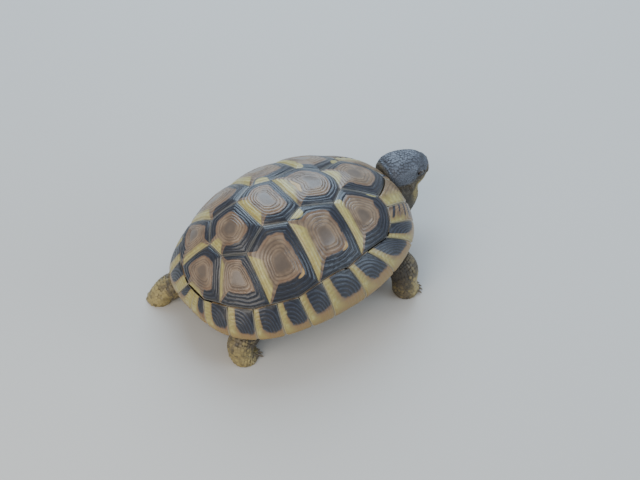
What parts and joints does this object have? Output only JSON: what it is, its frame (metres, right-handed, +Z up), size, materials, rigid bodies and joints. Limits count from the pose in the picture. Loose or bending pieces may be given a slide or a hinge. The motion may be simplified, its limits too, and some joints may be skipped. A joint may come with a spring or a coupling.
{
  "type": "tortoise",
  "caption": "Life-size walking tortoise: domed shell of ridged horny plates, plastron, scaled head, legs and tail; stands on its feet as a still model.",
  "frame": {"origin": "centre of the bounding box at the soles, on the floor", "axes": "+X towards the head, +Y to the animal's left, +Z up"},
  "size_m": [0.1868, 0.1132, 0.0853],
  "materials": {
    "carapace_horn": "ridged, semi-gloss horn: brown centres, dark bands, yellow rear edges",
    "marginal_horn": "ridged, semi-gloss horn: dark front blotch, yellow-brown rim",
    "plastron_horn": "smooth, semi-gloss horn: yellow with two dark bands",
    "leg_skin": "scaled skin, olive brown with yellow scales; dark claws",
    "neck_skin": "finely pebbled skin, grey olive with yellow below",
    "head_skin": "finely scaled skin, slate grey",
    "trunk_skin": "soft skin inside the shell, grey brown",
    "beak_horn": "horny beak, dark olive brown",
    "spur_horn": "horny spur, grey brown",
    "eye": "wet, nearly black"
  },
  "bodies": {
    "root": {"costal_left_1": "carapace_horn", "costal_left_2": "carapace_horn", "costal_left_3": "carapace_horn", "costal_left_4": "carapace_horn", "costal_right_1": "carapace_horn", "costal_right_2": "carapace_horn", "costal_right_3": "carapace_horn", "costal_right_4": "carapace_horn", "eye_left": "eye", "eye_right": "eye", "head": "head_skin", "leg_front_left": "leg_skin", "leg_front_right": "leg_skin", "leg_hind_left": "leg_skin", "leg_hind_right": "leg_skin", "lower_jaw": "beak_horn", "marginal_left_1": "marginal_horn", "marginal_left_10": "marginal_horn", "marginal_left_11": "marginal_horn", "marginal_left_2": "marginal_horn", "marginal_left_3": "marginal_horn", "marginal_left_4": "marginal_horn", "marginal_left_5": "marginal_horn", "marginal_left_6": "marginal_horn", "marginal_left_7": "marginal_horn", "marginal_left_8": "marginal_horn", "marginal_left_9": "marginal_horn", "marginal_right_1": "marginal_horn", "marginal_right_10": "marginal_horn", "marginal_right_11": "marginal_horn", "marginal_right_2": "marginal_horn", "marginal_right_3": "marginal_horn", "marginal_right_4": "marginal_horn", "marginal_right_5": "marginal_horn", "marginal_right_6": "marginal_horn", "marginal_right_7": "marginal_horn", "marginal_right_8": "marginal_horn", "marginal_right_9": "marginal_horn", "neck": "neck_skin", "nuchal": "marginal_horn", "plastron_abdominal": "plastron_horn", "plastron_anal": "plastron_horn", "plastron_femoral": "plastron_horn", "plastron_gular": "plastron_horn", "plastron_humeral": "plastron_horn", "plastron_pectoral": "plastron_horn", "supracaudal_left": "marginal_horn", "supracaudal_right": "marginal_horn", "tail": "neck_skin", "tail_spur": "spur_horn", "trunk": "trunk_skin", "upper_beak": "beak_horn", "vertebral_1": "carapace_horn", "vertebral_2": "carapace_horn", "vertebral_3": "carapace_horn", "vertebral_4": "carapace_horn", "vertebral_5": "carapace_horn"}
  },
  "joints": []
}
